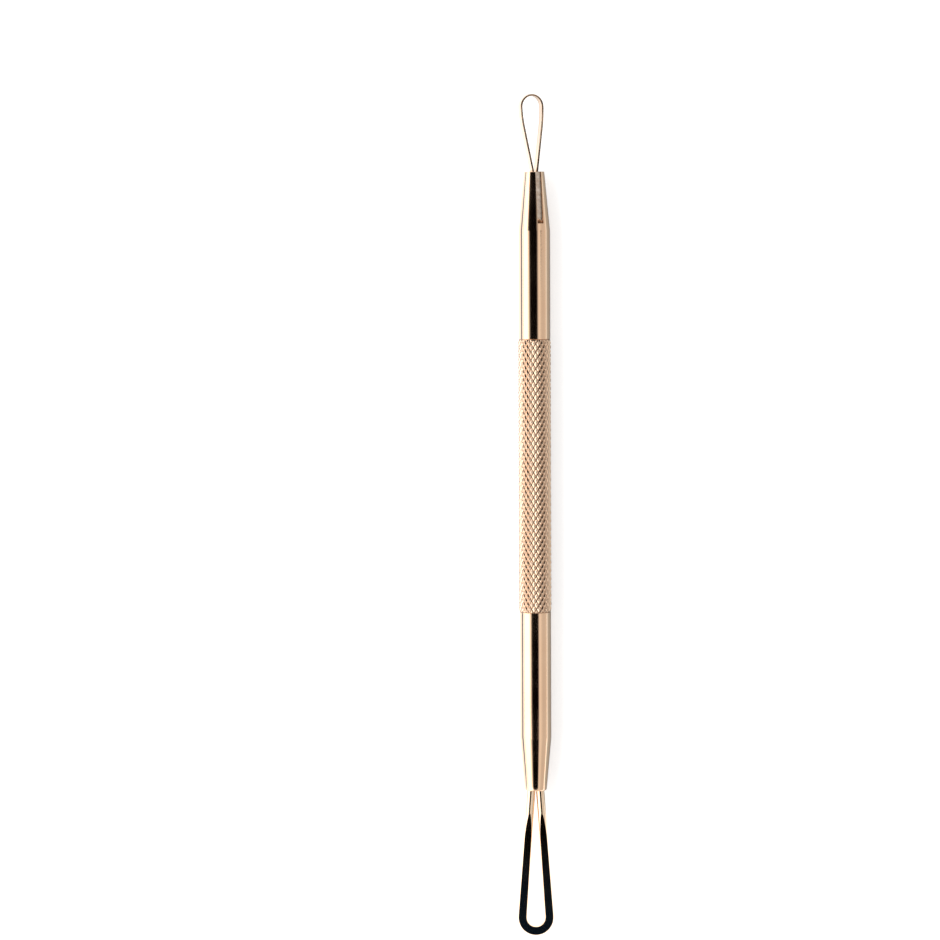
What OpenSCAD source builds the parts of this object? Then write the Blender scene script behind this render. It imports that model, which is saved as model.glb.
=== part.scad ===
// Double-ended loop tool for clearing pores: one turned and knurled bar with a wire loop brazed into each end.
// Lengths in mm. The tool lies flat along X, small loop towards +X, and the large loop's plane is level.
// The origin is the middle of the bounding box, at floor level, under the bar's knurled grip.

/* [Bar] */
// Length of the taper that holds the small loop
taper_a_l = 8.3; // [6:0.1:12]
// Length of the smooth shank between the small loop's taper and the grip
shank_a_l = 15.4; // [8:0.1:30]
// Length of the knurled grip
knurl_l = 38.9; // [20:0.1:60]
// Length of the smooth shank between the grip and the large loop's taper
shank_b_l = 17.9; // [8:0.1:30]
// Length of the taper that holds the large loop
taper_b_l = 7.6; // [6:0.1:12]
// Diameter of both smooth shanks
shank_d = 4.5; // [4.4:0.05:4.6]
// Diameter of the small loop's tip
tip_a_d = 2.9; // [2.6:0.05:3.4]
// Diameter of the large loop's tip
tip_b_d = 3.15; // [3.1:0.05:3.6]
// Rounding of the large loop's tip
tip_b_round = 0.26; // [0.1:0.02:0.4]
// Broken edge of the small loop's tip
tip_a_break = 0.06; // [0.02:0.01:0.12]

/* [Knurl] */
// Diameter over the crests of the knurl
knurl_d = 4.7; // [4.65:0.05:5]
// Depth of the knurl's grooves below its crests
knurl_depth = 0.2; // [0.18:0.01:0.26]
// Grooves that start round the bar, each way
knurl_starts = 21; // [15:2:25]
// Length along the bar from one crest to the next
knurl_pitch = 1.166; // [1:0.01:1.8]

/* [Small loop] */
// How far the small loop stands out of its tip
small_out = 11; // [9:0.1:13]
// Radius of the small loop's head, to the middle of the strip
small_r = 1.65; // [1.3:0.05:1.75]
// Radius of the gentle curve that joins the head to the straight sides
small_shoulder_r = 16; // [10:0.5:24]
// Thickness of the strip
strip_t = 0.24; // [0.2:0.01:0.45]
// Width of the strip
strip_w = 0.9; // [0.7:0.05:1.2]
// Broken edge along the strip's four corners
strip_break = 0.05; // [0.03:0.01:0.1]
// Length of the strip's two ends inside the slot
strip_in = 6.6; // [4:0.1:7.5]
// Gap between the strip's two ends in the slot
strip_gap = 0.42; // [0:0.02:0.6]
// How far one run of the strip reaches into the next, where they meet
strip_lap = 0.08; // [0.06:0.01:0.15]
// How much thicker each run of the strip is than the one before it, on every side
strip_grow = 0.005; // [0.004:0.001:0.01]
// Length of the sawn slot, which must be longer than the strip's ends
slot_l = 7.3; // [5:0.1:8]
// Turn of the small loop about the bar, away from the large loop's plane
small_turn = 25; // [-40:1:40]
// Lean of the small loop to one side, within its own plane
small_lean = 3; // [-4:0.5:4]
// How far the filler lies below the taper's surface
filler_sink = 0.4; // [0.1:0.02:0.6]

/* [Large loop] */
// How far the large loop stands out of its tip
large_out = 20.9; // [16:0.1:26]
// Radius of the large loop's round end, to the middle of the wire
large_r = 1.93; // [1.6:0.05:3]
// Diameter of the wire's two legs
wire_d = 1.2; // [1.1:0.02:1.22]
// Diameter that the wire is spread to at the round end
wire_end_d = 1.4; // [1.3:0.02:1.5]
// Gap between the two legs in the socket
leg_gap = 0.06; // [0.04:0.01:0.1]
// Thickness between the two pressed flats
flat_t = 0.9; // [0.7:0.02:1]
// Distance from the tip to the point where the flats start
flat_start = 3.2; // [2:0.1:5]
// Length over which the flats come to full depth
flat_ramp = 3.4; // [2:0.1:5]
// Length of the legs inside the socket
leg_in = 5; // [3:0.1:6]
// Room for filler round the legs in the socket
socket_room = 0.06; // [0.04:0.01:0.08]

/* [Hidden] */
$fn = 96;

handle_l = taper_a_l + shank_a_l + knurl_l + shank_b_l + taper_b_l;
overall_l = small_out + handle_l + large_out;

// The tool rests on two neighbouring rows of crests, so its axis is this high
knurl_cols = 2 * knurl_starts;
axis_z = knurl_d / 2 * cos(180 / knurl_cols);

// Positions along the bar, from the small loop's end to the large loop's
tip_a_x = overall_l / 2 - small_out;
shank_a_x = tip_a_x - taper_a_l;
knurl_a_x = shank_a_x - shank_a_l;
knurl_b_x = knurl_a_x - knurl_l;
shank_b_x = knurl_b_x - shank_b_l;
tip_b_x = shank_b_x - taper_b_l;

shank_r = shank_d / 2;
tip_a_r = tip_a_d / 2;
tip_b_r = tip_b_d / 2;
crest_r = knurl_d / 2;
groove_r = crest_r - knurl_depth;
core_r = groove_r - 0.3;
taper_b_slope = atan((shank_r - tip_b_r) / taper_b_l);

// Small loop: the lean turns it about the middle of its tip
small_half = (strip_t + strip_gap) / 2;
slot_w = 2 * strip_t + strip_gap;
small_c = (small_out - small_r - strip_t / 2 - 3 * strip_grow) / cos(small_lean);
small_q = small_half + small_shoulder_r - small_r;
small_side = asin(small_shoulder_r / sqrt(small_c * small_c + small_q * small_q)) - atan2(small_q, small_c);
side_run = small_c - small_shoulder_r * sin(small_side);
head_lap = strip_lap / small_r * 180 / PI;
shoulder_lap = strip_lap / small_shoulder_r * 180 / PI;

// Large loop: its sides run straight from the legs to the round end
wire_r = wire_d / 2;
wire_end_r = wire_end_d / 2;
leg_y = wire_r + leg_gap / 2;
large_c = large_out - large_r - wire_end_r;
large_side = asin(large_r / sqrt(large_c * large_c + leg_y * leg_y)) - atan2(leg_y, large_c);
side_l = large_c * cos(large_side) - leg_y * sin(large_side);
socket_r = wire_d + leg_gap / 2 + socket_room;
socket_l = leg_in + 0.3;
socket_point = socket_r * tan(31);

steel = [0.86, 0.64, 0.52];
strip_color = [0.9, 0.74, 0.6];
filler_color = [0.66, 0.6, 0.54];

// Puts a piece that was drawn with its axis on Z onto the bar's axis, its Z towards +X
module on_bar(x) translate([x, 0, axis_z]) rotate([0, 90, 0]) children();

// Turns the small loop's pieces, which are drawn in the XY plane, about the bar
module small_place() translate([tip_a_x, 0, axis_z]) rotate([small_turn, 0, 0]) children();

// Knurled band: a net of pyramids between two families of crossing grooves
module knurl_band() {
  rows = 2 * max(4, round(knurl_l / knurl_pitch));
  cols = knurl_cols;
  step = knurl_l / rows;
  pts = [
    for (i = [0 : rows]) for (j = [0 : cols - 1])
      let (
        ends = i == 0 || i == rows,
        r = !ends && (i + j) % 2 == 0 ? crest_r : groove_r,
        t = 90 + 360 * (j + 0.5) / cols
      ) [knurl_b_x + i * step, r * cos(t), axis_z + r * sin(t)]
  ];
  sides = [
    for (i = [0 : rows - 1]) for (j = [0 : cols - 1]) for (half = [0, 1])
      let (
        a = i * cols + j,
        b = i * cols + (j + 1) % cols,
        c = (i + 1) * cols + (j + 1) % cols,
        d = (i + 1) * cols + j
      ) (i + j) % 2 == 0
        ? (half == 0 ? [a, d, b] : [b, d, c])
        : (half == 0 ? [a, d, c] : [a, c, b])
  ];
  cap_b = [[for (j = [0 : cols - 1]) j]];
  cap_a = [[for (j = [0 : cols - 1]) (rows + 1) * cols - 1 - j]];
  polyhedron(points = pts, faces = concat(cap_b, sides, cap_a));
}

// Half outline of the bar for turning, large loop's tip at the bottom
module bar_outline() {
  e = tip_b_round;
  run = handle_l;
  k = e * tan(45 - taper_b_slope / 2);
  difference() {
    polygon([
      [0, 0], [tip_b_r, 0], [shank_r, taper_b_l],
      [shank_r, taper_b_l + shank_b_l], [core_r, taper_b_l + shank_b_l],
      [core_r, run - taper_a_l - shank_a_l], [shank_r, run - taper_a_l - shank_a_l],
      [shank_r, run - taper_a_l], [tip_a_r, run - tip_a_break],
      [tip_a_r - tip_a_break, run], [0, run]
    ]);
    difference() {
      translate([tip_b_r - k, -1]) square([k + 1, 1 + e]);
      translate([tip_b_r - k, e]) circle(r = e);
      translate([tip_b_r - k - 1, e * (1 + sin(taper_b_slope))]) square([3, 3]);
    }
  }
}

// Turned bar with its knurl, the slot for the strip and the socket for the wire
module handle() color(steel) difference() {
  union() {
    on_bar(tip_b_x) rotate_extrude() bar_outline();
    knurl_band();
  }
  small_place()
    translate([-slot_l, -slot_w / 2, -shank_r - 1]) cube([slot_l + 1, slot_w, shank_d + 2]);
  on_bar(tip_b_x) large_socket();
}

// Drilled socket in the large loop's tip, with its drill point
module large_socket() {
  translate([0, 0, -1]) cylinder(r = socket_r, h = socket_l + 1);
  translate([0, 0, socket_l]) cylinder(r1 = socket_r, r2 = 0, h = socket_point);
}

// Cross-section of the strip, thickness along X and width along Y, middle at x, grown all round
module strip_section(x, grow = 0) {
  a = strip_t / 2 + grow;
  b = strip_w / 2 + grow;
  e = strip_break;
  translate([x, 0]) polygon([
    [-a, -b + e], [-a + e, -b], [a - e, -b], [a, -b + e],
    [a, b - e], [a - e, b], [-a + e, b], [-a, b - e]
  ]);
}

// One side of the small loop, from its tip to the head, on the +Y or the -Y side
module small_side(s) {
  translate([small_c, s * (small_r - small_shoulder_r), 0])
    rotate([0, 0, s > 0 ? 90 : -90 - small_side - shoulder_lap])
      rotate_extrude(angle = small_side + shoulder_lap) strip_section(small_shoulder_r, 2 * strip_grow);
  translate([0, s * small_half, 0]) rotate([0, 0, s * small_side]) rotate([90, 0, 90])
    linear_extrude(height = side_run / cos(small_side)) strip_section(0, strip_grow);
}

// Small loop: a thin strip bent on the flat into a drop, both ends side by side in the slot. Each run
// reaches into the next, which is a hair thicker
module small_loop() color(strip_color) small_place() {
  rotate([0, 0, small_lean]) {
    translate([small_c, 0, 0]) rotate([0, 0, -90 - head_lap])
      rotate_extrude(angle = 180 + 2 * head_lap) strip_section(small_r, 3 * strip_grow);
    small_side(1);
    small_side(-1);
  }
  for (s = [-1, 1]) translate([-strip_in, s * small_half, 0]) rotate([90, 0, 90])
    linear_extrude(height = strip_in + strip_lap) strip_section(0);
}

// Wire of the large loop before pressing, drawn towards +X from its tip
module large_wire() {
  for (s = [-1, 1]) {
    translate([-leg_in, s * leg_y, 0]) rotate([0, 90, 0]) cylinder(r = wire_r, h = leg_in);
    translate([0, s * leg_y, 0]) sphere(r = wire_r);
    translate([0, s * leg_y, 0]) rotate([0, 0, s * large_side]) rotate([0, 90, 0])
      cylinder(r1 = wire_r, r2 = wire_end_r, h = side_l);
  }
  translate([large_c, 0, 0]) rotate([0, 0, -90 - large_side])
    rotate_extrude(angle = 180 + 2 * large_side) translate([large_r, 0]) circle(r = wire_end_r);
}

// What the press takes from one face: a short ramp and then a level flat
module press_cut() {
  top = wire_end_r + 0.5;
  x1 = flat_start + flat_ramp;
  ramp_z = wire_r + (wire_end_r - wire_r) * flat_start / side_l;
  rotate([90, 0, 0]) linear_extrude(height = 20, center = true) polygon([
    [flat_start, ramp_z], [x1, flat_t / 2], [large_out + 1, flat_t / 2],
    [large_out + 1, top], [flat_start, top]
  ]);
}

// Large loop: round wire with its end pressed flat on both faces, both legs side by side in the socket
module large_loop() color(steel)
  translate([tip_b_x, 0, axis_z]) rotate([0, 0, 180]) difference() {
    large_wire();
    press_cut();
    mirror([0, 0, 1]) press_cut();
  }

// Filler in the slot, in front of, behind and below the strip's ends
module small_filler() color(filler_color) difference() {
  intersection() {
    small_place() translate([-slot_l, -slot_w / 2, -shank_r]) cube([slot_l, slot_w, shank_d]);
    on_bar(shank_a_x) cylinder(r1 = shank_r - filler_sink, r2 = tip_a_r - filler_sink, h = taper_a_l);
  }
  small_place() for (s = [-1, 1]) translate([-strip_in, s * small_half, 0]) rotate([90, 0, 90])
    linear_extrude(height = strip_in + 1) strip_section(0);
}

// Filler round the wire's legs in the socket
module large_filler() color(filler_color) difference() {
  on_bar(tip_b_x) union() {
    cylinder(r = socket_r, h = socket_l);
    translate([0, 0, socket_l]) cylinder(r1 = socket_r, r2 = 0, h = socket_point);
  }
  for (s = [-1, 1]) translate([tip_b_x - 1, s * leg_y, axis_z]) rotate([0, 90, 0])
    cylinder(r = wire_r, h = leg_in + 1);
}

handle();
small_loop();
large_loop();
small_filler();
large_filler();
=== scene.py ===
import math

import bmesh
import bpy
import numpy as np
from mathutils import Matrix, Vector


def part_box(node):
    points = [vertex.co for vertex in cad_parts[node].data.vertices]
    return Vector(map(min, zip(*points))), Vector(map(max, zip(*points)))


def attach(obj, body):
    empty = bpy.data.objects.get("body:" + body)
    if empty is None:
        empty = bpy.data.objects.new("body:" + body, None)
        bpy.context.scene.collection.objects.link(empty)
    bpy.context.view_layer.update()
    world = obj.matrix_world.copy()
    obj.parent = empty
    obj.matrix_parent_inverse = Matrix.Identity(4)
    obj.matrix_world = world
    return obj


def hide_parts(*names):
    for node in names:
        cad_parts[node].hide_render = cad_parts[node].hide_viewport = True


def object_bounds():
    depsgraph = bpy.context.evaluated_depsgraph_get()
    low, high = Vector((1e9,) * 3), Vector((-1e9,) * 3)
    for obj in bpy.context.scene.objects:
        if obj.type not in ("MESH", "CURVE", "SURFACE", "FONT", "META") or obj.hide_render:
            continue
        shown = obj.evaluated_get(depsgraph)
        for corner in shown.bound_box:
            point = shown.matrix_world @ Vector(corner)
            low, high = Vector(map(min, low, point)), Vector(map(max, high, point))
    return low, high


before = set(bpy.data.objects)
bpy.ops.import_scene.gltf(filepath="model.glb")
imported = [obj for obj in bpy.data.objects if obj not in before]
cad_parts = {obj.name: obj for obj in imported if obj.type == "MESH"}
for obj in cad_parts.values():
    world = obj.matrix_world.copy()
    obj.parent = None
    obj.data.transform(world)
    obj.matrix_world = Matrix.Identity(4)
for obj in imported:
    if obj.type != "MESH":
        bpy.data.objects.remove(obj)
cad_box = [list(corner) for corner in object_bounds()]

# Turned bar
# One length of round steel bar, turned in a lathe with a taper at each end, polished and plated in
# rose gold. A saw has slit the small loop's taper, and a drill has bored the large loop's tip.
mm = 0.001
bar_low, bar_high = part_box("handle")
large_tip_x = bar_low.x / mm
small_tip_x = bar_high.x / mm
axis_z = (bar_low.z + bar_high.z) / 2 / mm

shank_r = 2.25
small_tip_r = 1.45
large_tip_r = 1.575
small_taper_l = 8.3
large_taper_l = 7.6
small_shank_l = 15.4
large_shank_l = 17.9
knurl_end_x = small_tip_x - small_taper_l - small_shank_l
knurl_start_x = large_tip_x + large_taper_l + large_shank_l
core_r = 1.95
shoulder_break = 0.03
slot_l = 7.3
slot_w = 0.90
loop_turn = math.radians(25)
socket_r = 1.29
socket_l = 5.3
socket_break = 0.04
drill_slope = math.radians(31)
# The saw and the drill start this far outside the tips
past_tip = 1
bar_sides = 240


def arc_points(cx, cr, radius, first, last, steps):
    """Points of an arc in the plane of position along the bar and radius, angles in degrees."""
    angles = [math.radians(first + (last - first) * i / steps) for i in range(steps + 1)]
    return [(cx + radius * math.cos(a), cr + radius * math.sin(a)) for a in angles]


def spaced(outline, step):
    """The outline with points added along its long straight runs, at most a step apart."""
    out = [outline[0]]
    for (x0, r0), (x1, r1) in zip(outline, outline[1:]):
        n = max(1, math.ceil(math.hypot(x1 - x0, r1 - r0) / step))
        out += [(x0 + (x1 - x0) * i / n, r0 + (r1 - r0) * i / n) for i in range(1, n + 1)]
    return out


def turned(name, outline, around):
    """A closed turned solid from an outline of (x, radius) in mm, which starts and ends on the axis."""
    mesh = bpy.data.meshes.new(name)
    verts = [(outline[0][0] * mm, 0, axis_z * mm)]
    for x, r in outline[1:-1]:
        for j in range(around):
            a = 2 * math.pi * j / around
            verts.append((x * mm, r * math.cos(a) * mm, (axis_z + r * math.sin(a)) * mm))
    verts.append((outline[-1][0] * mm, 0, axis_z * mm))
    faces = []
    rings = len(outline) - 2
    for j in range(around):
        k = (j + 1) % around
        faces.append((0, 1 + j, 1 + k))
        for i in range(rings - 1):
            a, b = 1 + i * around, 1 + (i + 1) * around
            faces.append((a + j, b + j, b + k, a + k))
        end = 1 + (rings - 1) * around
        faces.append((len(verts) - 1, end + k, end + j))
    mesh.from_pydata(verts, [], faces)
    mesh.update()
    piece = bpy.data.objects.new(name, mesh)
    bpy.context.scene.collection.objects.link(piece)
    return piece


def finish_mesh(mesh, crease):
    """Points every face outwards and shades it smooth up to the crease angle, in degrees."""
    work = bmesh.new()
    work.from_mesh(mesh)
    bmesh.ops.remove_doubles(work, verts=work.verts, dist=1e-8)
    bmesh.ops.recalc_face_normals(work, faces=work.faces)
    for face in work.faces:
        face.smooth = True
    work.to_mesh(mesh)
    work.free()
    mesh.set_sharp_from_angle(angle=math.radians(crease))


def carve(piece, cutter):
    """Cuts the cutter's shape out of the piece and drops the cutter."""
    cut = piece.modifiers.new("cut", "BOOLEAN")
    cut.operation, cut.solver, cut.object = "DIFFERENCE", "EXACT", cutter
    plain = bpy.data.meshes.new_from_object(piece.evaluated_get(bpy.context.evaluated_depsgraph_get()))
    piece.modifiers.clear()
    old, piece.data = piece.data, plain
    plain.name = piece.name
    bpy.data.meshes.remove(old)
    bpy.data.objects.remove(cutter)


# Each bend between shank and taper is a small radius, held sharp by a ring of points on both sides.
# The large tip's rounding is drawn in a hair, so that it stays inside the CAD solid
tip_round = 0.26
round_room = 1.02
small_tip_round, small_tip_inset = 0.08, 0.072
bend_r = 0.5
bend_hold = 0.02
large_slope = math.atan((shank_r - large_tip_r) / large_taper_l)
small_slope = math.atan((shank_r - small_tip_r) / small_taper_l)
large_degrees, small_degrees = math.degrees(large_slope), math.degrees(small_slope)
round_c = large_tip_r - tip_round * math.tan(math.pi / 4 - large_slope / 2) * round_room
large_bend_x = large_tip_x + large_taper_l
small_bend_x = small_tip_x - small_taper_l
bend_large = bend_r * math.tan(large_slope / 2)
bend_small = bend_r * math.tan(small_slope / 2)
large_hold_r = shank_r - (bend_large + bend_hold) * math.tan(large_slope)
small_hold_r = shank_r - (bend_small + bend_hold) * math.tan(small_slope)
outline = [(large_tip_x, 0)]
outline += arc_points(large_tip_x + tip_round, round_c, tip_round, 180, 90 + large_degrees, 8)
outline += [(large_bend_x - bend_large - bend_hold, large_hold_r)]
outline += arc_points(large_bend_x + bend_large, shank_r - bend_r, bend_r, 90 + large_degrees, 90, 4)
outline += [(large_bend_x + bend_large + bend_hold, shank_r)]
outline += [(knurl_start_x - shoulder_break, shank_r), (knurl_start_x, shank_r - shoulder_break)]
outline += [(knurl_start_x, core_r), (knurl_end_x, core_r)]
outline += [(knurl_end_x, shank_r - shoulder_break), (knurl_end_x + shoulder_break, shank_r)]
outline += [(small_bend_x - bend_small - bend_hold, shank_r)]
outline += arc_points(small_bend_x - bend_small, shank_r - bend_r, bend_r, 90, 90 - small_degrees, 4)
outline += [(small_bend_x + bend_small + bend_hold, small_hold_r)]
outline += arc_points(
    small_tip_x - small_tip_round, small_tip_r - small_tip_inset, small_tip_round, 90 - small_degrees, 0, 6
)
outline += [(small_tip_x, 0)]
bar = turned("bar", spaced(outline, step=0.5), bar_sides)

saw_reach = 8
slot_cut = bpy.data.objects.new("slot_cut", bpy.data.meshes.new("slot_cut"))
bpy.context.scene.collection.objects.link(slot_cut)
work = bmesh.new()
bmesh.ops.create_cube(work, size=1)
slot_place = (
    Matrix.Translation((small_tip_x * mm, 0, axis_z * mm))
    @ Matrix.Rotation(loop_turn, 4, "X")
    @ Matrix.Translation(((past_tip - slot_l) / 2 * mm, 0, 0))
    @ Matrix.Diagonal(((slot_l + past_tip) * mm, slot_w * mm, saw_reach * mm, 1))
)
bmesh.ops.transform(work, matrix=slot_place, verts=work.verts)
work.to_mesh(slot_cut.data)
work.free()
carve(bar, slot_cut)
mouth_r = socket_r + socket_break
socket_outline = [(large_tip_x - past_tip, 0), (large_tip_x - past_tip, mouth_r), (large_tip_x, mouth_r)]
socket_outline += [(large_tip_x + socket_break, socket_r), (large_tip_x + socket_l, socket_r)]
socket_outline += [(large_tip_x + socket_l + socket_r * math.tan(drill_slope), 0)]
carve(bar, turned("socket_cut", socket_outline, bar_sides))
finish_mesh(bar.data, crease=28)


def node(tree, kind, place=(0, 0), **settings):
    """A new node in the tree. A setting that starts with a capital letter is an input socket's name,
    with _ for a space. Any other setting is one of the node's own properties."""
    made = tree.nodes.new(kind)
    made.location = place
    for key, value in settings.items():
        if key[0].isupper():
            made.inputs[key.replace("_", " ")].default_value = value
        else:
            setattr(made, key, value)
    return made


def calc(tree, operation, *values, place=(0, 0)):
    """The result of a math node on sockets or plain numbers."""
    made = node(tree, "ShaderNodeMath", place, operation=operation)
    for socket, value in zip(made.inputs, values):
        if isinstance(value, (int, float)):
            socket.default_value = value
        else:
            tree.links.new(value, socket)
    return made.outputs[0]


def remap(tree, value, before, after, place=(0, 0)):
    """The value moved from one range to another, and held within the new one."""
    made = node(tree, "ShaderNodeMapRange", place)
    for i, number in enumerate((*before, *after)):
        made.inputs[1 + i].default_value = number
    tree.links.new(value, made.inputs["Value"])
    return made.outputs[0]


def ramp(tree, value, stops, place=(0, 0)):
    """The colour that a ramp of (position, colour) stops gives for the value."""
    made = node(tree, "ShaderNodeValToRGB", place)
    elements = made.color_ramp.elements
    while len(elements) < len(stops):
        elements.new(1.0)
    for element, (at, colour) in zip(elements, stops):
        element.position, element.color = at, (*colour, 1)
    tree.links.new(value, made.inputs["Fac"])
    return made.outputs["Color"]


def plated_skin():
    """Shader group for the plating: cloudy tone, faint turning lines, fine hairline scratches."""
    tree = bpy.data.node_groups.new("plated_skin", "ShaderNodeTree")
    face = tree.interface
    for name, value in (("Line Scale", 1.0), ("Line Depth", 1.0), ("Scratches", 1.0), ("Roughness", 0.1)):
        face.new_socket(name, in_out="INPUT", socket_type="NodeSocketFloat").default_value = value
    face.new_socket("Vector", in_out="INPUT", socket_type="NodeSocketVector")
    for name in ("Tone", "Roughness", "Height"):
        face.new_socket(name, in_out="OUTPUT", socket_type="NodeSocketFloat")
    link = tree.links.new
    given = node(tree, "NodeGroupInput", (-1400, 0)).outputs
    made = node(tree, "NodeGroupOutput", (700, 0)).inputs

    cloud = node(tree, "ShaderNodeTexNoise", (-900, 400), Scale=180.0, Detail=4.0, Roughness=0.55)
    link(given["Vector"], cloud.inputs["Vector"])
    link(cloud.outputs["Fac"], made["Tone"])

    # Turning lines run round the bar, so the pattern changes fast along X and hardly at all across it
    stretch = node(tree, "ShaderNodeVectorMath", (-1150, 100), operation="MULTIPLY")
    stretch.inputs[1].default_value = (1.0, 0.02, 0.02)
    link(given["Vector"], stretch.inputs[0])
    finer = node(tree, "ShaderNodeVectorMath", (-950, 100), operation="SCALE")
    link(stretch.outputs[0], finer.inputs[0])
    link(given["Line Scale"], finer.inputs["Scale"])
    lines = node(tree, "ShaderNodeTexNoise", (-750, 100), Scale=9000.0, Detail=3.0, Roughness=0.6)
    link(finer.outputs[0], lines.inputs["Vector"])

    # Hairlines from wiping and handling run mostly lengthwise
    along = node(tree, "ShaderNodeVectorMath", (-1150, -250), operation="MULTIPLY")
    along.inputs[1].default_value = (0.05, 1.0, 0.8)
    link(given["Vector"], along.inputs[0])
    hair = node(tree, "ShaderNodeTexNoise", (-900, -250), Scale=14000.0, Detail=2.0, Roughness=0.5)
    link(along.outputs[0], hair.inputs["Vector"])
    few = remap(tree, hair.outputs["Fac"], (0.66, 0.74), (0.0, 1.0), (-700, -250))
    wanted = calc(tree, "MULTIPLY", few, given["Scratches"], place=(-500, -250))

    scratch_haze, scratch_dent = 0.08, 0.5
    smear = remap(tree, cloud.outputs["Fac"], (0.3, 0.75), (-0.02, 0.05), (-500, 300))
    rough = calc(tree, "ADD", smear, given["Roughness"], place=(-250, 250))
    link(calc(tree, "MULTIPLY_ADD", wanted, scratch_haze, rough, place=(-50, 150)), made["Roughness"])
    ridge = calc(tree, "MULTIPLY", lines.outputs["Fac"], given["Line Depth"], place=(-250, -50))
    dent = calc(tree, "MULTIPLY", wanted, scratch_dent, place=(-250, -300))
    link(calc(tree, "SUBTRACT", ridge, dent, place=(-50, -150)), made["Height"])
    return tree


skin = plated_skin()


def plated(name, tint, deep, roughness, line_scale, line_depth, scratches, bump):
    """Rose-gold plating. Tint and deep are the two ends of its tone. Returns the material and its shader."""
    made = bpy.data.materials.new(name)
    made.use_nodes = True
    tree = made.node_tree
    link = tree.links.new
    shader = tree.nodes["Principled BSDF"]
    shader.inputs["Metallic"].default_value = 1.0
    place = node(tree, "ShaderNodeTexCoord", (-1100, 0))
    group = node(
        tree, "ShaderNodeGroup", (-850, 0), node_tree=skin,
        Line_Scale=line_scale, Line_Depth=line_depth, Scratches=scratches, Roughness=roughness,
    )
    link(place.outputs["Object"], group.inputs["Vector"])
    tone = ramp(tree, group.outputs["Tone"], ((0.3, deep), (0.7, tint)), (-550, 200))
    link(tone, shader.inputs["Base Color"])
    link(group.outputs["Roughness"], shader.inputs["Roughness"])
    relief = node(tree, "ShaderNodeBump", (-300, -250), Strength=bump, Distance=0.00002)
    link(group.outputs["Height"], relief.inputs["Height"])
    link(relief.outputs["Normal"], shader.inputs["Normal"])
    return made, shader


bar_finish, _ = plated(
    "bar_finish", tint=(0.93, 0.63, 0.42), deep=(0.90, 0.59, 0.385), roughness=0.075,
    line_scale=1.0, line_depth=1.0, scratches=0.6, bump=0.06,
)
bar.data.materials.append(bar_finish)
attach(bar, "root")
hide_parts("handle")

# Knurled grip
# The middle of the same bar, rolled between two wheels that press crossing grooves into it, so that
# rows of small pyramids stand up. The plating is coloured darker towards the bottom of each groove.
knurl_crest_r = 2.345
knurl_depth = 0.2
knurl_starts = 21
knurl_length = knurl_end_x - knurl_start_x
knurl_repeats = 33
points_per_groove = 10
groove_softness = 0.1
knurl_sizes = {
    "Length": knurl_length * mm,
    "Crest Radius": knurl_crest_r * mm,
    "Groove Depth": knurl_depth * mm,
    "Core Radius": (core_r - 0.05) * mm,
    "Start": knurl_start_x * mm,
    "Axis Height": axis_z * mm,
    "Starts": float(knurl_starts),
    "Repeats": float(knurl_repeats),
    "Crest Flat": 0.16,
    "Run Out": 0.25 * mm,
}
knurl_points = {"Around": knurl_starts * points_per_groove, "Along": knurl_repeats * points_per_groove}
knurl_tree = bpy.data.node_groups.new("knurled_band", "GeometryNodeTree")
face = knurl_tree.interface
for name, value in knurl_sizes.items():
    face.new_socket(name, in_out="INPUT", socket_type="NodeSocketFloat").default_value = value
for name, value in knurl_points.items():
    face.new_socket(name, in_out="INPUT", socket_type="NodeSocketInt").default_value = value
face.new_socket("Finish", in_out="INPUT", socket_type="NodeSocketMaterial")
face.new_socket("Mesh", in_out="OUTPUT", socket_type="NodeSocketGeometry")
link = knurl_tree.links.new
size = node(knurl_tree, "NodeGroupInput", (-2600, 0)).outputs


def sum_of(operation, *values):
    """A math node in the knurl's tree, from sockets or plain numbers. Returns its result."""
    return calc(knurl_tree, operation, *values)


# A grid of points becomes the band: X runs round the bar and Y along it. Its first row is the inner
# edge at the start, the next ones are the knurl, then comes the inner edge at the end
grid = node(knurl_tree, "GeometryNodeMeshGrid", (-2200, 0), Size_X=1.0, Size_Y=1.0)
link(sum_of("ADD", size["Around"], 1), grid.inputs["Vertices X"])
link(sum_of("ADD", size["Along"], 4), grid.inputs["Vertices Y"])
spot = node(knurl_tree, "ShaderNodeSeparateXYZ", (-2000, -300))
link(node(knurl_tree, "GeometryNodeInputPosition", (-2200, -300)).outputs[0], spot.inputs[0])
turn = sum_of("ADD", spot.outputs["X"], 0.5)
row = sum_of("MULTIPLY", sum_of("ADD", spot.outputs["Y"], 0.5), sum_of("ADD", size["Along"], 3))
run = sum_of("DIVIDE", sum_of("SUBTRACT", row, 1), size["Along"])
run = sum_of("MINIMUM", sum_of("MAXIMUM", run, 0), 1)
# The last row goes back to the start, inside, which closes the band into one solid sleeve
inner_return = sum_of("GREATER_THAN", row, sum_of("ADD", size["Along"], 2.5))
run = sum_of("MULTIPLY", run, sum_of("SUBTRACT", 1, inner_return))
before_knurl = sum_of("LESS_THAN", row, 0.5)
after_knurl = sum_of("GREATER_THAN", row, sum_of("ADD", size["Along"], 1.5))
inner = sum_of("MAXIMUM", before_knurl, after_knurl)
round_phase = sum_of("MULTIPLY", turn, size["Starts"])
run_phase = sum_of("MULTIPLY", run, size["Repeats"])


def groove(phase):
    """Height between two grooves of one family, 0 in a groove and 1 midway."""
    part = sum_of("SUBTRACT", sum_of("MULTIPLY", sum_of("FRACT", phase), 2), 1)
    return sum_of("SUBTRACT", 1, sum_of("ABSOLUTE", part))


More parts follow.
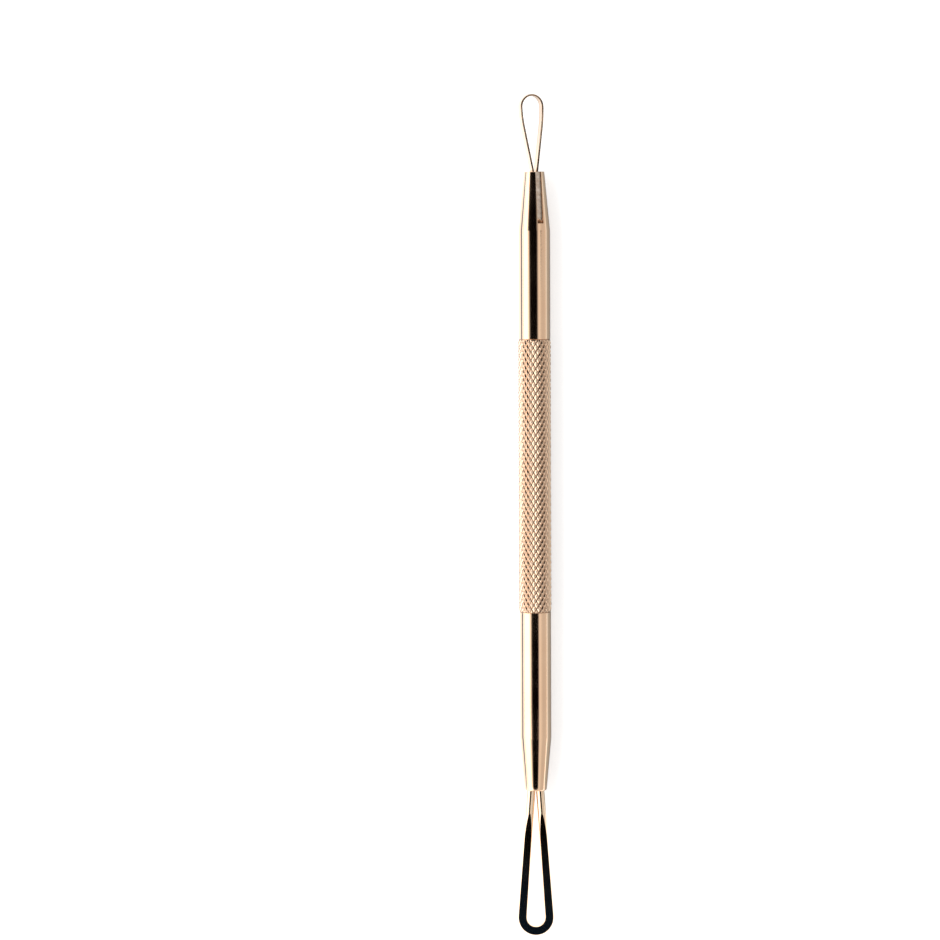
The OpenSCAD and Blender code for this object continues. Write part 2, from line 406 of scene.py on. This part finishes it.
# A hundred whole grooves are added to keep the left-hand phase above zero
right_hand = groove(sum_of("ADD", round_phase, run_phase))
left_hand = groove(sum_of("SUBTRACT", sum_of("ADD", round_phase, 100), run_phase))
pyramid = sum_of("SMOOTH_MIN", right_hand, left_hand, groove_softness)
topped = sum_of("DIVIDE", pyramid, sum_of("SUBTRACT", 1, size["Crest Flat"]))
topped = sum_of("MINIMUM", sum_of("MAXIMUM", topped, 0), 1)
from_start = sum_of("DIVIDE", sum_of("MULTIPLY", run, size["Length"]), size["Run Out"])
run_left = sum_of("SUBTRACT", 1, run)
from_end = sum_of("DIVIDE", sum_of("MULTIPLY", run_left, size["Length"]), size["Run Out"])
fade = sum_of("MINIMUM", sum_of("MINIMUM", from_start, from_end), 1)
raised = sum_of("MULTIPLY", topped, fade)
groove_r = sum_of("SUBTRACT", size["Crest Radius"], size["Groove Depth"])
outer_r = sum_of("MULTIPLY_ADD", raised, size["Groove Depth"], groove_r)
outside = sum_of("SUBTRACT", 1, inner)
radius = sum_of("ADD", sum_of("MULTIPLY", outer_r, outside), sum_of("MULTIPLY", size["Core Radius"], inner))
angle = sum_of("MULTIPLY", turn, 2 * math.pi)
rise = sum_of("MULTIPLY", radius, sum_of("SINE", angle))
spot_at = node(knurl_tree, "ShaderNodeCombineXYZ", (-400, -200))
link(sum_of("ADD", sum_of("MULTIPLY", run, size["Length"]), size["Start"]), spot_at.inputs["X"])
link(sum_of("MULTIPLY", radius, sum_of("COSINE", angle)), spot_at.inputs["Y"])
link(sum_of("ADD", rise, size["Axis Height"]), spot_at.inputs["Z"])
depth = node(
    knurl_tree, "GeometryNodeStoreNamedAttribute", (-300, 100),
    data_type="FLOAT", domain="POINT", Name="groove",
)
link(grid.outputs["Mesh"], depth.inputs["Geometry"])
link(sum_of("SUBTRACT", 1, raised), depth.inputs["Value"])
moved = node(knurl_tree, "GeometryNodeSetPosition", (-100, 100))
link(depth.outputs["Geometry"], moved.inputs["Geometry"])
link(spot_at.outputs[0], moved.inputs["Position"])
joined = node(knurl_tree, "GeometryNodeMergeByDistance", (100, 100), Distance=0.0000005)
link(moved.outputs["Geometry"], joined.inputs["Geometry"])
real = node(knurl_tree, "GeometryNodeRealizeInstances", (300, 100))
link(joined.outputs["Geometry"], real.inputs["Geometry"])
coated = node(knurl_tree, "GeometryNodeSetMaterial", (500, 100))
link(real.outputs["Geometry"], coated.inputs["Geometry"])
link(size["Finish"], coated.inputs["Material"])
link(coated.outputs["Geometry"], node(knurl_tree, "NodeGroupOutput", (700, 100)).inputs["Mesh"])


def mixed(tree, factor, first, second, place=(0, 0)):
    """The first colour at factor 0, the second at 1. Each is a socket or a plain colour."""
    made = node(tree, "ShaderNodeMix", place, data_type="RGBA")
    tree.links.new(factor, made.inputs[0])
    for socket, colour in ((made.inputs[6], first), (made.inputs[7], second)):
        if isinstance(colour, tuple):
            socket.default_value = (*colour, 1)
        else:
            tree.links.new(colour, socket)
    return made.outputs[2]


# The knurl's own depth, stored on its points, darkens the plating towards the bottom of each groove
# A dark brown mixed into the plating, more of it the deeper the point lies in its groove
groove_dark_tone = (0.26, 0.11, 0.045)
grip_finish, grip_shader = plated(
    "grip_finish", tint=(0.93, 0.67, 0.48), deep=(0.88, 0.61, 0.42), roughness=0.2,
    line_scale=1.0, line_depth=0.3, scratches=0.4, bump=0.1,
)
tree = grip_finish.node_tree
groove_mark = node(tree, "ShaderNodeAttribute", (-900, 500), attribute_name="groove")
shade = remap(tree, groove_mark.outputs["Fac"], (0.62, 1.0), (0.0, 0.85), (-650, 500))
tone = grip_shader.inputs["Base Color"].links[0].from_socket
tree.links.new(mixed(tree, shade, tone, groove_dark_tone, (-250, 300)), grip_shader.inputs["Base Color"])

grip = bpy.data.objects.new("grip", bpy.data.meshes.new("grip"))
bpy.context.scene.collection.objects.link(grip)
rolled = grip.modifiers.new("knurl", "NODES")
rolled.node_group = knurl_tree
knurl_inputs = {**knurl_sizes, **knurl_points, "Finish": grip_finish}
for item in knurl_tree.interface.items_tree:
    if item.in_out == "INPUT":
        rolled[item.identifier] = knurl_inputs[item.name]
plain = bpy.data.meshes.new_from_object(grip.evaluated_get(bpy.context.evaluated_depsgraph_get()))
grip.modifiers.clear()
grip.data = plain
plain.name = "grip"
finish_mesh(grip.data, crease=60)
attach(grip, "root")
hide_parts("handle")

# Small loop
# A thin strip of springy plated steel, bent on the flat into a drop. Its two ends lie side by side in
# the saw slot. It leans a little to one side and is turned from the large loop's plane.
strip_t = 0.30
strip_gap = 0.30
strip_w = 0.9
strip_corner = 0.016
strip_in = 6.6
small_r = 1.65
shoulder_r = 16.0
small_out = cad_box[1][0] / mm - small_tip_x
small_lean = math.radians(3)
half_t = strip_t / 2
leg_apart = (strip_t + strip_gap) / 2
head_x = (small_out - small_r - half_t) / math.cos(small_lean)
offset = leg_apart + shoulder_r - small_r
side_angle = math.asin(shoulder_r / math.hypot(head_x, offset)) - math.atan2(offset, head_x)
quarter = math.pi / 2


def arc_path(cx, cy, radius, first, last, step):
    """Points of an arc in a loop's own plane, angles in radians."""
    n = max(2, math.ceil(abs(last - first) * radius / step))
    angles = [first + (last - first) * i / n for i in range(n + 1)]
    return [(cx + radius * math.cos(a), cy + radius * math.sin(a)) for a in angles]


def even_path(points, step, soft):
    """The path with points an even step apart, its kinks softened over a length, both in mm."""
    p = np.array(points)
    far = np.r_[0, np.cumsum(np.linalg.norm(np.diff(p, axis=0), axis=1))]
    keep = np.r_[True, np.diff(far) > 1e-9]
    p, far = p[keep], far[keep]
    n = int(far[-1] / step)
    at = np.linspace(0, far[-1], n + 1)
    q = np.stack([np.interp(at, far, p[:, i]) for i in range(p.shape[1])], axis=1)
    reach = int(3 * soft / step)
    weights = np.exp(-0.5 * (np.arange(-reach, reach + 1) * step / soft) ** 2)
    weights /= weights.sum()
    padded = np.concatenate([np.repeat(q[:1], reach, 0), q, np.repeat(q[-1:], reach, 0)])
    smooth = np.stack([np.convolve(padded[:, i], weights, "valid") for i in range(q.shape[1])], axis=1)
    smooth[: reach + 1], smooth[-reach - 1 :] = q[: reach + 1], q[-reach - 1 :]
    return smooth


def swept(name, path, section, place):
    """A closed solid along a flat path. section(i) gives the (across, up) outline at path point i, in mm."""
    slope = np.gradient(path, axis=0)
    slope /= np.linalg.norm(slope, axis=1)[:, None]
    verts, count = [], 0
    for i, (x, y) in enumerate(path):
        ring = section(i)
        count = len(ring)
        across = (-slope[i][1], slope[i][0])
        verts += [(x + a * across[0], y + a * across[1], b) for a, b in ring]
    faces = [tuple(range(count)), tuple(len(verts) - 1 - j for j in range(count))]
    for i in range(len(path) - 1):
        for j in range(count):
            k = (j + 1) % count
            faces.append((i * count + j, (i + 1) * count + j, (i + 1) * count + k, i * count + k))
    mesh = bpy.data.meshes.new(name)
    mesh.from_pydata([place @ (Vector(v) * mm) for v in verts], [], faces)
    piece = bpy.data.objects.new(name, mesh)
    bpy.context.scene.collection.objects.link(piece)
    return piece


def leaned(point):
    """A point of the drop, turned by the loop's lean about the middle of the tip."""
    x, y = point
    lean_cos, lean_sin = math.cos(small_lean), math.sin(small_lean)
    return (x * lean_cos - y * lean_sin, x * lean_sin + y * lean_cos)


drop = [(0, leg_apart)]
drop += arc_path(head_x, small_r - shoulder_r, shoulder_r, quarter + side_angle, quarter, step=0.2)
drop += arc_path(head_x, 0, small_r, quarter, -quarter, step=0.05)
drop += arc_path(head_x, shoulder_r - small_r, shoulder_r, -quarter, -quarter - side_angle, step=0.2)
drop += [(0, -leg_apart)]
strip_path = [(-strip_in, leg_apart)] + [leaned(p) for p in drop] + [(-strip_in, -leg_apart)]
strip_path = even_path(strip_path, step=0.06, soft=0.16)


def strip_ring(i):
    """The strip's section: a thin flat band with softened corners."""
    ring = []
    for cx, cy, first in ((1, 1, 0), (-1, 1, 90), (-1, -1, 180), (1, -1, 270)):
        for k in range(7):
            a = math.radians(first + 15 * k)
            ring.append((
                cx * (half_t - strip_corner) + strip_corner * math.cos(a),
                cy * (strip_w / 2 - strip_corner) + strip_corner * math.sin(a),
            ))
    return ring


small_place = Matrix.Translation((small_tip_x * mm, 0, axis_z * mm)) @ Matrix.Rotation(loop_turn, 4, "X")
small_loop = swept("small_loop", strip_path, strip_ring, small_place)
finish_mesh(small_loop.data, crease=50)
strip_finish, _ = plated(
    "strip_finish", tint=(0.95, 0.70, 0.50), deep=(0.91, 0.64, 0.45), roughness=0.04,
    line_scale=1.4, line_depth=0.4, scratches=0.6, bump=0.03,
)
small_loop.data.materials.append(strip_finish)
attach(small_loop, "root")
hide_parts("small_loop")

# Large loop
# Round plated steel wire, bent into a long drop with both legs side by side in the drilled socket.
# A press has flattened its two faces from about three millimetres outside the tip.
wire_r = 0.6
wire_end_r = 0.7
leg_y = 0.63
leg_in = 5.0
large_r = 1.93
large_out = large_tip_x - cad_box[0][0] / mm
end_x = large_out - large_r - wire_end_r
large_side = math.asin(large_r / math.hypot(end_x, leg_y)) - math.atan2(leg_y, end_x)
side_l = end_x * math.cos(large_side) - leg_y * math.sin(large_side)
flat_start = 3.2
flat_ramp = 3.4
flat_half = 0.41
flat_edge = 0.01
steepest = math.radians(87)
side_points = 22
ramp_top = wire_r + (wire_end_r - wire_r) * flat_start / side_l

wire_path = [(-leg_in, leg_y), (0, leg_y)]
wire_path += arc_path(end_x, 0, large_r, quarter + large_side, -quarter - large_side, step=0.05)
wire_path += [(0, -leg_y), (-leg_in, -leg_y)]
wire_path = even_path(wire_path, step=0.1, soft=0.3)


def wire_ring(i):
    """The wire's section: round, then flat on both faces, with a narrow soft edge beside each flat."""
    x = wire_path[i][0]
    r = wire_r + (wire_end_r - wire_r) * min(max(x / side_l, 0), 1)
    pressed = min(max((x - flat_start) / flat_ramp, 0), 1)
    half = r if x < flat_start else ramp_top + (flat_half - ramp_top) * pressed
    edge = math.degrees(math.asin(min(half / r, math.sin(steepest))))
    height = r * math.sin(math.radians(edge))
    width = r * math.cos(math.radians(edge))
    soft = min(flat_edge, width * 0.4)
    side = [math.radians(-edge + 2 * edge * (k + 0.5) / side_points) for k in range(side_points)]
    right = [(r * math.cos(a), r * math.sin(a)) for a in side]
    flat = [(width - soft * 0.3, height - soft * 0.1)]
    flat += [(width - soft, height), (width - soft * 1.6, height), (0, height)]
    flat += [(soft * 1.6 - width, height), (soft - width, height), (soft * 0.3 - width, height - soft * 0.1)]
    half_ring = right + flat
    return half_ring + [(-a, -b) for a, b in half_ring]


large_place = Matrix.Translation((large_tip_x * mm, 0, axis_z * mm)) @ Matrix.Rotation(math.pi, 4, "Z")
large_loop = swept("large_loop", wire_path, wire_ring, large_place)
finish_mesh(large_loop.data, crease=50)
wire_finish, _ = plated(
    "wire_finish", tint=(0.95, 0.72, 0.51), deep=(0.91, 0.65, 0.45), roughness=0.06,
    line_scale=1.0, line_depth=0.3, scratches=0.8, bump=0.05,
)
large_loop.data.materials.append(wire_finish)
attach(large_loop, "root")
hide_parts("large_loop")

# Filler in the slot
# Silver braze that was melted into the saw slot round the strip's ends, then plated over with the bar.
# It lies below the taper, sags in the middle, and leaves a small pit at the slot's lower end.
braze_deep, braze_tint = (0.66, 0.52, 0.40), (0.82, 0.68, 0.56)
braze = bpy.data.materials.new("braze")
braze.use_nodes = True
tree = braze.node_tree
link = tree.links.new
shader = tree.nodes["Principled BSDF"]
shader.inputs["Metallic"].default_value = 1.0
place = node(tree, "ShaderNodeTexCoord", (-1100, 0))
lumps = node(tree, "ShaderNodeTexNoise", (-850, 0), Scale=1500.0, Detail=3.0, Roughness=0.5)
link(place.outputs["Object"], lumps.inputs["Vector"])
tone = ramp(tree, lumps.outputs["Fac"], ((0.35, braze_deep), (0.65, braze_tint)), (-550, 200))
link(tone, shader.inputs["Base Color"])
link(remap(tree, lumps.outputs["Fac"], (0.3, 0.7), (0.45, 0.28), (-550, -50)), shader.inputs["Roughness"])
relief = node(tree, "ShaderNodeBump", (-300, -250), Strength=0.5, Distance=0.00003)
link(lumps.outputs["Fac"], relief.inputs["Height"])
link(relief.outputs["Normal"], shader.inputs["Normal"])

filler_sink, filler_sag = 0.32, 0.14
long_ripple, short_ripple = 0.012, 0.008
pit_depth, pit_long, pit_wide, pit_aside = 0.6, 0.4, 0.24, 0.14
short_of_tip = 0.02


def filler_surface(x, u):
    """Height of the filler's face above the bar's axis, in mm. x is the place along the bar from the
    tip, and u the place across the slot."""
    taper = small_tip_r + (shank_r - small_tip_r) * -x / small_taper_l
    sag = filler_sag * (1 - (2 * u / slot_w) ** 2)
    ripple = long_ripple * math.sin(3.1 * x) + short_ripple * math.sin(7.3 * x + 2 * u)
    pit = pit_depth * math.exp(-(((x + slot_l) / pit_long) ** 2) - ((u + pit_aside) / pit_wide) ** 2)
    return math.sqrt(taper**2 - u**2) - filler_sink - sag - ripple - pit


work = bmesh.new()
cols, rows = 12, 90
sheets = []
for side in (1, -1):
    sheet = []
    for i in range(rows + 1):
        x = -slot_l + (slot_l - short_of_tip) * i / rows
        across_slot = [slot_w * (j / cols - 0.5) for j in range(cols + 1)]
        sheet.append([work.verts.new(Vector((x, u, side * filler_surface(x, u))) * mm) for u in across_slot])
    sheets.append(sheet)
top, under = sheets
for i in range(rows):
    for j in range(cols):
        work.faces.new((top[i][j], top[i + 1][j], top[i + 1][j + 1], top[i][j + 1]))
        work.faces.new((under[i][j], under[i][j + 1], under[i + 1][j + 1], under[i + 1][j]))
    for j in (0, cols):
        work.faces.new((top[i][j], under[i][j], under[i + 1][j], top[i + 1][j]))
for i in (0, rows):
    for j in range(cols):
        work.faces.new((top[i][j], top[i][j + 1], under[i][j + 1], under[i][j]))
bmesh.ops.transform(work, matrix=small_place, verts=work.verts)
small_filler = bpy.data.objects.new("small_filler", bpy.data.meshes.new("small_filler"))
bpy.context.scene.collection.objects.link(small_filler)
work.to_mesh(small_filler.data)
work.free()
finish_mesh(small_filler.data, crease=50)
small_filler.data.materials.append(braze)
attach(small_filler, "root")
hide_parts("small_filler")

# Filler in the socket
# The same braze, run into the drilled tip round the wire's two legs. Its face dishes in slightly from
# the rim and climbs a little up each leg where the molten metal wetted the wire.
face_back, face_dish = 0.04, 0.1
wet_climb, wet_reach = 0.1, 0.09
work = bmesh.new()
rings, around = 26, 96
levels = []
for i in range(rings + 1):
    r = socket_r * (1 - i / rings)
    row = []
    for j in range(around):
        a = 2 * math.pi * j / around
        y, z = r * math.cos(a), r * math.sin(a)
        near = min(math.hypot(y - leg_y, z), math.hypot(y + leg_y, z)) - wire_r
        climb = wet_climb * math.exp(-max(near, 0) / wet_reach)
        dish = -face_dish * (1 - (r / socket_r) ** 4)
        row.append(work.verts.new(Vector((dish + climb - face_back, y, z)) * mm))
        if r == 0:
            break
    levels.append(row)
back = [work.verts.new(Vector((-socket_l, v.co.y / mm, v.co.z / mm)) * mm) for v in levels[0]]
for i in range(rings - 1):
    for j in range(around):
        k = (j + 1) % around
        work.faces.new((levels[i][j], levels[i][k], levels[i + 1][k], levels[i + 1][j]))
for j in range(around):
    k = (j + 1) % around
    work.faces.new((levels[rings - 1][j], levels[rings - 1][k], levels[rings][0]))
    work.faces.new((levels[0][j], back[j], back[k], levels[0][k]))
work.faces.new(back)
bmesh.ops.transform(work, matrix=large_place, verts=work.verts)
large_filler = bpy.data.objects.new("large_filler", bpy.data.meshes.new("large_filler"))
bpy.context.scene.collection.objects.link(large_filler)
work.to_mesh(large_filler.data)
work.free()
finish_mesh(large_filler.data, crease=50)
large_filler.data.materials.append(braze)
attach(large_filler, "root")
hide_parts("large_filler")

# Studio
# A white table, a pale room, one long softbox to the left and a dark flag over the tool. Polished
# metal shows its surroundings, so these give it the photograph's pale, black and tan bands.
table_half, table_z = 4, -0.00002
table_grey = (0.93, 0.93, 0.93)
floor_mesh = bpy.data.meshes.new("floor")
corner_signs = ((-1, -1), (1, -1), (1, 1), (-1, 1))
table_corners = [(x * table_half, y * table_half, table_z) for x, y in corner_signs]
floor_mesh.from_pydata(table_corners, [], [(0, 1, 2, 3)])
floor = bpy.data.objects.new("floor", floor_mesh)
bpy.context.scene.collection.objects.link(floor)
table_top = bpy.data.materials.new("table_top")
table_top.use_nodes = True
tree = table_top.node_tree
link = tree.links.new
table_skin = tree.nodes["Principled BSDF"]
table_skin.inputs["Roughness"].default_value = 0.9
table_skin.inputs["Specular IOR Level"].default_value = 0.0
# Seen by the camera the table is lifted to white. In reflections its left side glows like a light
# table, but for a dim strip a little way off, and its right side stays in the tool's own shade
where = node(tree, "ShaderNodeTexCoord", (-1300, -400))
parts = node(tree, "ShaderNodeSeparateXYZ", (-1100, -400))
link(where.outputs["Object"], parts.inputs[0])
across = remap(tree, parts.outputs["Y"], (-0.02, 0.06), (0.0, 1.0), (-900, -400))
unlit, half_lit, full_lit = (0.0, 0.0, 0.0), (0.45, 0.5, 0.65), (0.81, 0.9, 1.17)
glow_stops = (
    (0.0, unlit), (0.24, unlit), (0.29, half_lit), (0.35, half_lit),
    (0.37, unlit), (0.54, unlit), (0.7, full_lit),
)
glow = ramp(tree, across, glow_stops, (-700, -400))
open_tone, own_shade, dim_strip = (0.837, 0.93, 0.9858), (0.45, 0.5, 0.53), (0.19, 0.26, 0.38)
shade_stops = (
    (0.0, open_tone), (0.05, own_shade), (0.24, own_shade), (0.27, open_tone),
    (0.36, open_tone), (0.38, dim_strip), (0.52, dim_strip), (0.6, open_tone),
)
shade = ramp(tree, across, shade_stops, (-700, 200))
beside_bar = remap(tree, parts.outputs["X"], (-0.046, -0.041), (0.0, 1.0), (-900, 500))
seen = node(tree, "ShaderNodeLightPath", (-700, -700))
in_mirror = seen.outputs["Is Glossy Ray"]
shaded = calc(tree, "MULTIPLY", beside_bar, in_mirror, place=(-500, 400))
link(mixed(tree, shaded, table_grey, shade, (-300, 200)), table_skin.inputs["Base Color"])
# Round the large loop the whole table glows, as nothing stands in its light there
open_glow = mixed(tree, beside_bar, (0.8, 0.9, 1.0), glow, (-500, -400))
camera_lift = 0.36
in_camera = calc(tree, "MULTIPLY", seen.outputs["Is Camera Ray"], camera_lift, place=(-500, -700))
lifted = node(tree, "ShaderNodeEmission", (0, -300))
link(mixed(tree, in_mirror, in_camera, open_glow, (-300, -500)), lifted.inputs["Color"])
both = node(tree, "ShaderNodeAddShader", (250, 0))
link(table_skin.outputs[0], both.inputs[0])
link(lifted.outputs[0], both.inputs[1])
link(both.outputs[0], tree.nodes["Material Output"].inputs["Surface"])
floor_mesh.materials.append(table_top)

# The room's walls change in brightness from right to left, over the tool. The camera sees plain white
room = bpy.data.worlds.new("room")
bpy.context.scene.world = room
room.use_nodes = True
tree = room.node_tree
link = tree.links.new
backdrop = tree.nodes["Background"]
where = node(tree, "ShaderNodeTexCoord", (-1400, 0))
parts = node(tree, "ShaderNodeSeparateXYZ", (-1200, 0))
link(where.outputs["Generated"], parts.inputs[0])
lean = calc(tree, "ARCTAN2", parts.outputs["Y"], parts.outputs["Z"], place=(-1000, 0))
turned_by = remap(tree, lean, (-quarter, quarter), (0.0, 1.0), (-800, 0))
wall_greys = ((0.0, 0.74), (0.12, 0.66), (0.2, 0.68), (0.27, 0.86), (0.36, 0.95), (0.5, 0.72), (1.0, 0.72))
walls = ramp(tree, turned_by, [(at, (grey, grey, grey)) for at, grey in wall_greys], (-600, 0))
seen = node(tree, "ShaderNodeLightPath", (-600, 300))
shown = mixed(tree, seen.outputs["Is Camera Ray"], walls, (1, 1, 1), (-300, 0))
link(shown, backdrop.inputs["Color"])
backdrop.inputs["Strength"].default_value = 1.0


def softbox(name, middle, towards, wide, high, radiance):
    """A rectangular lamp, sizes in metres, whose face has a plain radiance."""
    lamp = bpy.data.lights.new(name, "AREA")
    lamp.shape, lamp.size, lamp.size_y = "RECTANGLE", wide, high
    lamp.energy = radiance * math.pi * wide * high
    made = bpy.data.objects.new(name, lamp)
    made.location = middle
    made.rotation_euler = (Vector(towards) - Vector(middle)).to_track_quat("-Z", "Y").to_euler()
    bpy.context.scene.collection.objects.link(made)


softbox("left_softbox", middle=(0, 0.5, 0.36), towards=(0, 0, 0.1), wide=1.6, high=0.7, radiance=1.6)


def matt_cloth(name, colour):
    """Dull dark cloth. Returns the material and its shader."""
    made = bpy.data.materials.new(name)
    made.use_nodes = True
    shader = made.node_tree.nodes["Principled BSDF"]
    shader.inputs["Base Color"].default_value = (*colour, 1)
    shader.inputs["Roughness"].default_value = 1.0
    shader.inputs["Specular IOR Level"].default_value = 0.0
    return made, shader


card_z = 0.4


def hung(name, cards, cloth):
    """Level cards over the tool, which show only in reflections, each as (near x, far x, right y, left y)."""
    mesh = bpy.data.meshes.new(name)
    verts = []
    for near, far, right, left in cards:
        verts += [(x, y, card_z) for x, y in ((near, right), (near, left), (far, left), (far, right))]
    mesh.from_pydata(verts, [], [tuple(range(4 * i, 4 * i + 4)) for i in range(len(cards))])
    mesh.materials.append(cloth)
    made = bpy.data.objects.new(name, mesh)
    bpy.context.scene.collection.objects.link(made)
    made.visible_camera = made.visible_diffuse = made.visible_shadow = made.visible_transmission = False
    return made


black, navy = (0.0015, 0.001, 0.001), (0.0015, 0.007, 0.018)
black_cloth, cloth = matt_cloth("black_cloth", black)
tree = black_cloth.node_tree
link = tree.links.new
where = node(tree, "ShaderNodeTexCoord", (-1300, 0))
parts = node(tree, "ShaderNodeSeparateXYZ", (-1100, 0))
link(where.outputs["Object"], parts.inputs[0])
# A band over the large loop's round end is a very dark blue
end_place = remap(tree, parts.outputs["X"], (-0.145, -0.105), (0.0, 1.0), (-850, 700))
end_stops = ((0.0, black), (0.3, black), (0.38, navy), (0.6, navy), (0.95, black))
link(ramp(tree, end_place, end_stops, (-600, 700)), cloth.inputs["Base Color"])

# It is drawn in to a third of its width where the large loop's legs and flats see it
legs_x, legs_reach, legs_pull = -0.111, (0.011, 0.018), 2.8
from_legs = calc(tree, "ADD", parts.outputs["X"], -legs_x, place=(-1100, 400))
off_legs = calc(tree, "ABSOLUTE", from_legs, place=(-950, 400))
pull = remap(tree, off_legs, legs_reach, (legs_pull, 1.0), (-800, 400))
drawn_in = calc(tree, "MULTIPLY", parts.outputs["Y"], pull, place=(-650, 400))

# Its edges hang out of focus: each side fades from its first line to its second, and both lines run
# from a place at the near end of the tool's reflection to one at the far end
reflection_x = (-0.08, 0.12)
left_edges = ((0.14, 0.34), (0.40, 0.62))
right_edges = ((-0.15, -0.10), (-0.225, -0.27))
sides = []
for level, edges in ((300, left_edges), (-300, right_edges)):
    side_fade = node(tree, "ShaderNodeMapRange", (-600, level), To_Min=1.0, To_Max=0.0)
    link(drawn_in, side_fade.inputs["Value"])
    for socket, near_and_far in zip((side_fade.inputs["From Min"], side_fade.inputs["From Max"]), edges):
        link(remap(tree, parts.outputs["X"], reflection_x, near_and_far, (-850, level)), socket)
    sides.append(side_fade.outputs[0])
link(calc(tree, "MULTIPLY", *sides, place=(-350, 0)), cloth.inputs["Alpha"])
flag = hung("flag", [(-0.21, 0.8, -0.3, 0.64)], black_cloth)

# Two small cards to the right, which only the strip's upper edges mirror, draw the small loop's dark
# lines. The gap between them leaves a light break in each line
card_cloth, _ = matt_cloth("card_cloth", (0.003, 0.0022, 0.0015))
side_flag = hung("side_flag", [(0.030, 0.0525, -0.63, -0.38), (0.0575, 0.10, -0.63, -0.38)], card_cloth)

# Camera
# It looks down on the tool from a little towards the small loop, far off with a long lens, so that
# the tool stands upright right of the middle of the frame, as in the photograph.
photo_scale = 7.045
photo_width = 940
camera_far = 700.0
camera_tip = math.radians(3)
camera_roll = math.radians(-0.197)
framing_shift = -0.1
aim = Vector((6.70 - framing_shift * photo_width / photo_scale, 9.16, axis_z))
back = Vector((math.sin(camera_tip), 0, math.cos(camera_tip)))
lens = bpy.data.cameras.new("camera")
lens.sensor_width = 36.0
lens.lens = photo_scale * camera_far * lens.sensor_width / photo_width
lens.shift_y = framing_shift
lens.clip_start, lens.clip_end = 0.01, 20.0
camera = bpy.data.objects.new("camera", lens)
bpy.context.scene.collection.objects.link(camera)
right = Vector((0, -1, 0))
up = back.cross(right)
turned_frame = Matrix((right, up, back)).transposed() @ Matrix.Rotation(camera_roll, 3, "Z")
camera.matrix_world = Matrix.Translation((aim + back * camera_far) * mm) @ turned_frame.to_4x4()
bpy.context.scene.camera = camera
bpy.context.scene.view_settings.view_transform = "Standard"

bpy.context.view_layer.update()
